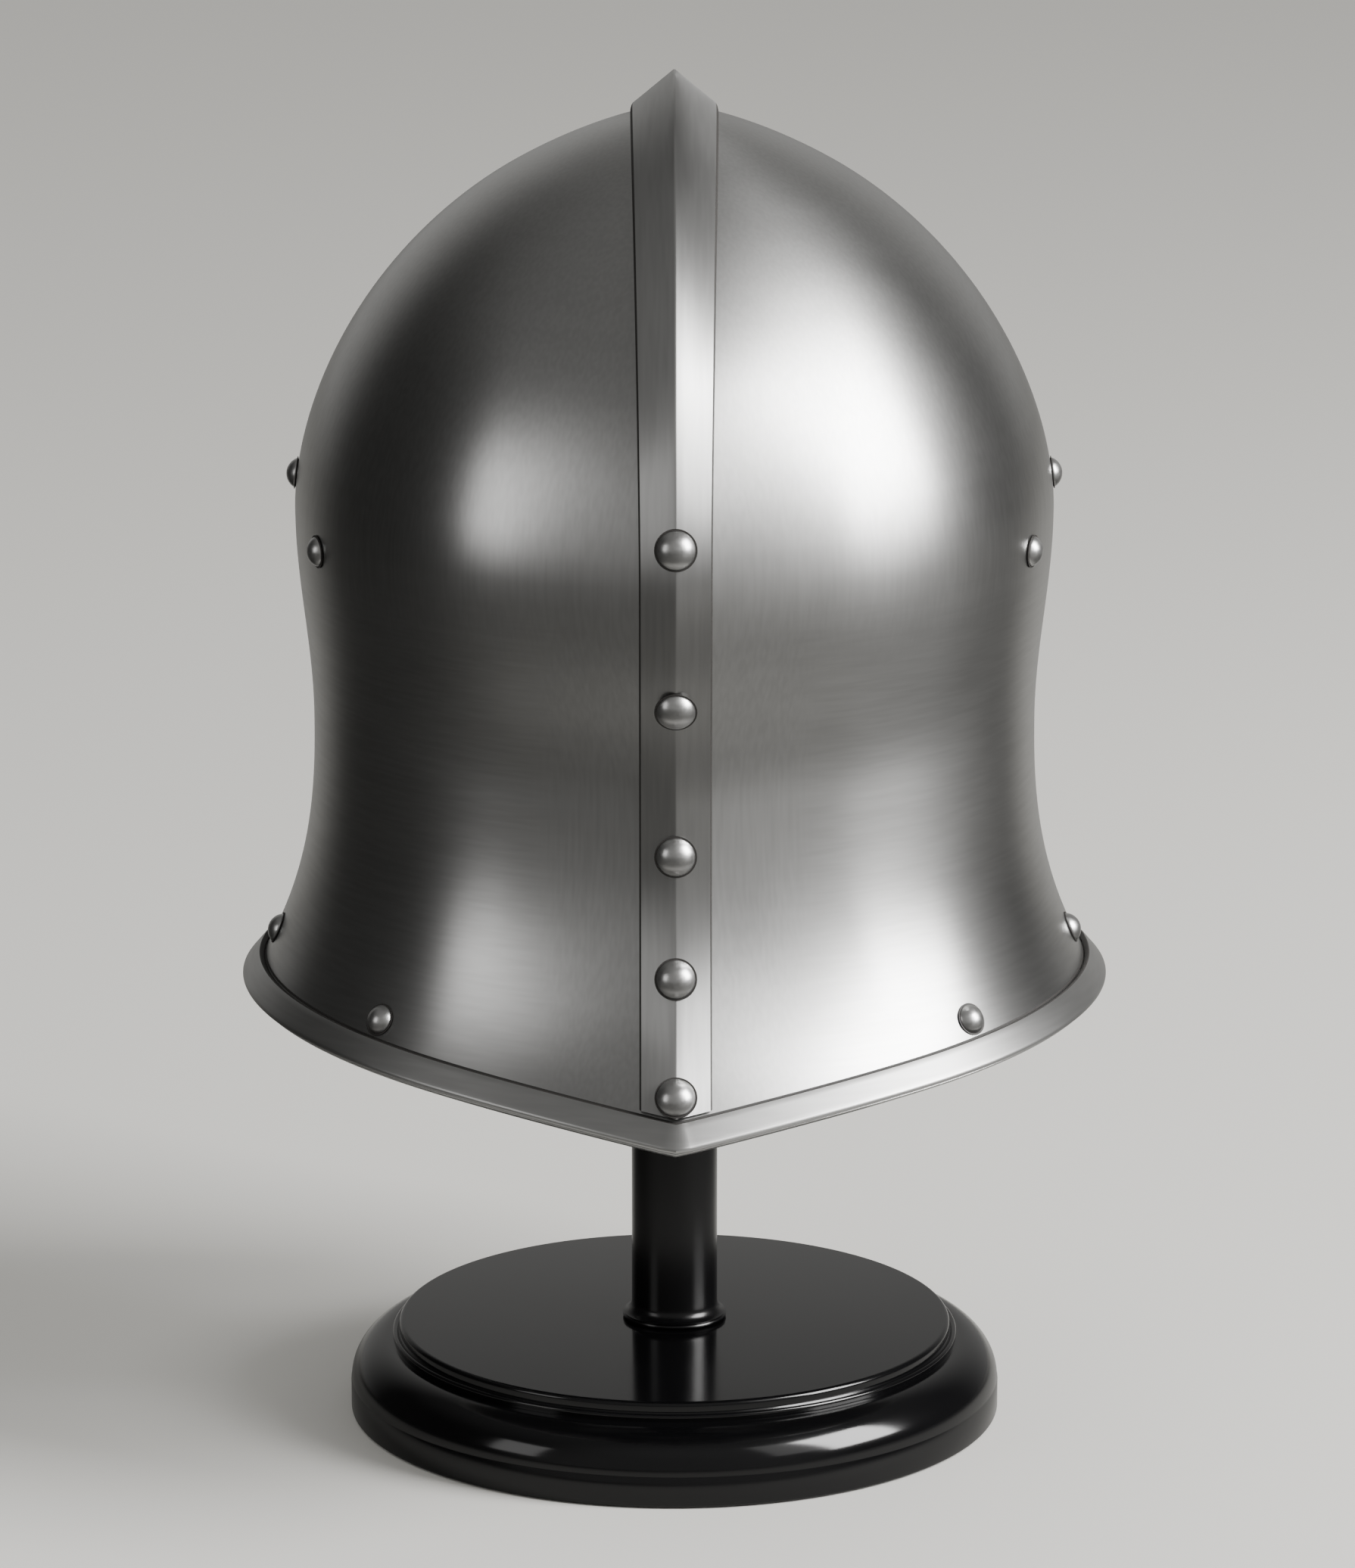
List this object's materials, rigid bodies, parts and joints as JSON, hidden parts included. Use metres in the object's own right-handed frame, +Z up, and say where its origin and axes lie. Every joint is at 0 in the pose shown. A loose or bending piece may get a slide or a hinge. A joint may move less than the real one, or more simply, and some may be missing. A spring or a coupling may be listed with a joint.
{
  "type": "barbute helmet on a display stand",
  "caption": "Brushed steel barbute with a raised medial ridge band, domed rivets and a pointed tail, resting on a round lacquered display stand.",
  "frame": {"origin": "centre of the foot's underside, on the post's axis", "axes": "+Z up along the post; +Y toward the face opening, so the ridge's rivets and the pointed tail face -Y; +X to the wearer's right"},
  "size_m": [0.2552, 0.2749, 0.4015],
  "materials": {
    "brushed_steel": "brushed, horizontal lines, low sheen",
    "rivet_steel": "smooth, a little darker than the skull",
    "black_lacquer": "turned wood under high-gloss black lacquer",
    "plain_black": "plain matt black paint"
  },
  "bodies": {
    "root": {"shell": "brushed_steel", "rim_band": "brushed_steel", "ridge_band": "brushed_steel", "ridge_rivet_1": "rivet_steel", "ridge_rivet_2": "rivet_steel", "ridge_rivet_3": "rivet_steel", "ridge_rivet_4": "rivet_steel", "ridge_rivet_5": "rivet_steel", "ridge_rivet_brow": "rivet_steel", "temple_rivet_upper_left": "rivet_steel", "temple_rivet_upper_right": "rivet_steel", "temple_rivet_lower_left": "rivet_steel", "temple_rivet_lower_right": "rivet_steel", "rim_rivet_side_left": "rivet_steel", "rim_rivet_side_right": "rivet_steel", "rim_rivet_rear_left": "rivet_steel", "rim_rivet_rear_right": "rivet_steel", "rim_rivet_cheek_left": "rivet_steel", "rim_rivet_cheek_right": "rivet_steel", "stand_foot": "black_lacquer", "stand_post": "black_lacquer", "stand_head": "plain_black"}
  },
  "joints": []
}
